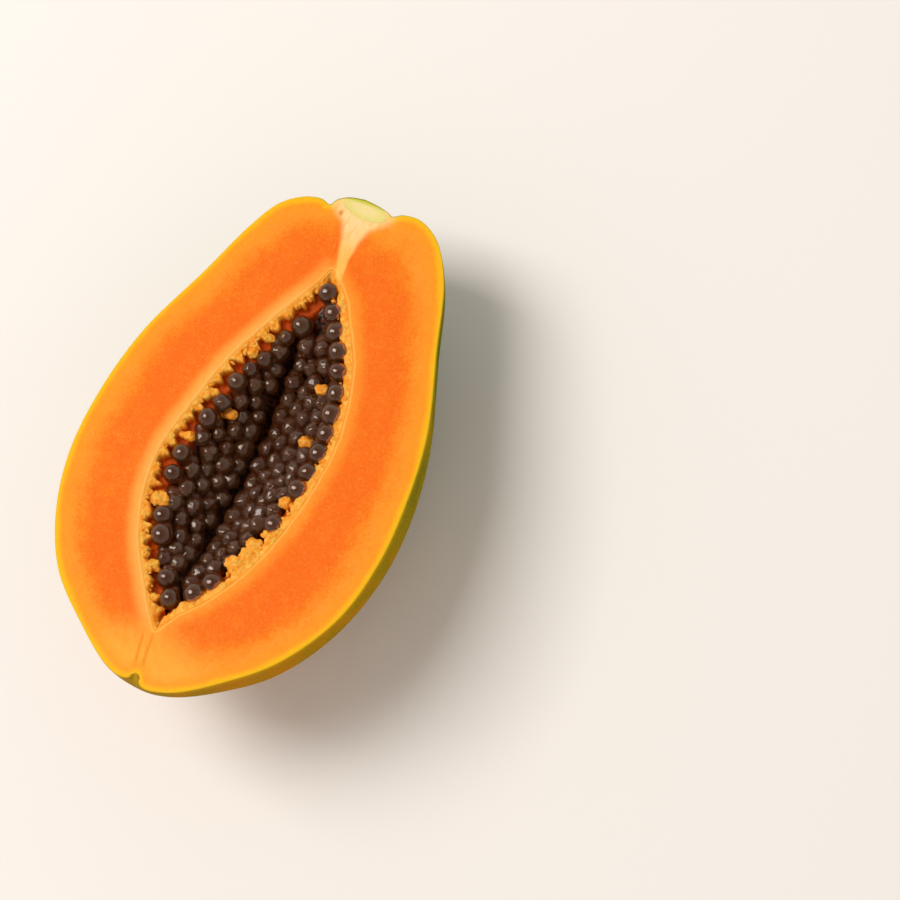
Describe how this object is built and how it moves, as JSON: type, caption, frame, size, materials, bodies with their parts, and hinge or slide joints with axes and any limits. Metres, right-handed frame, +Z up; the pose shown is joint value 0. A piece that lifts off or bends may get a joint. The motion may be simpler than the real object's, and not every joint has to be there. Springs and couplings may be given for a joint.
{
  "type": "halved papaya",
  "caption": "Lengthwise half of a ripe papaya lying on its back, cut face up, with its seed cavity full of glossy dark seeds.",
  "frame": {"origin": "middle of the small flat spot that the half rests on", "axes": "+X along the fruit towards its stem end, +Y across the cut face, +Z up"},
  "size_m": [0.1741, 0.1126, 0.0655],
  "materials": {
    "flesh_and_skin": "moist orange flesh with thin yellow-green skin outside",
    "seeds": "wet, near-black seed coats"
  },
  "bodies": {
    "root": {"fruit_half": "flesh_and_skin", "seeds": "seeds"}
  },
  "joints": []
}
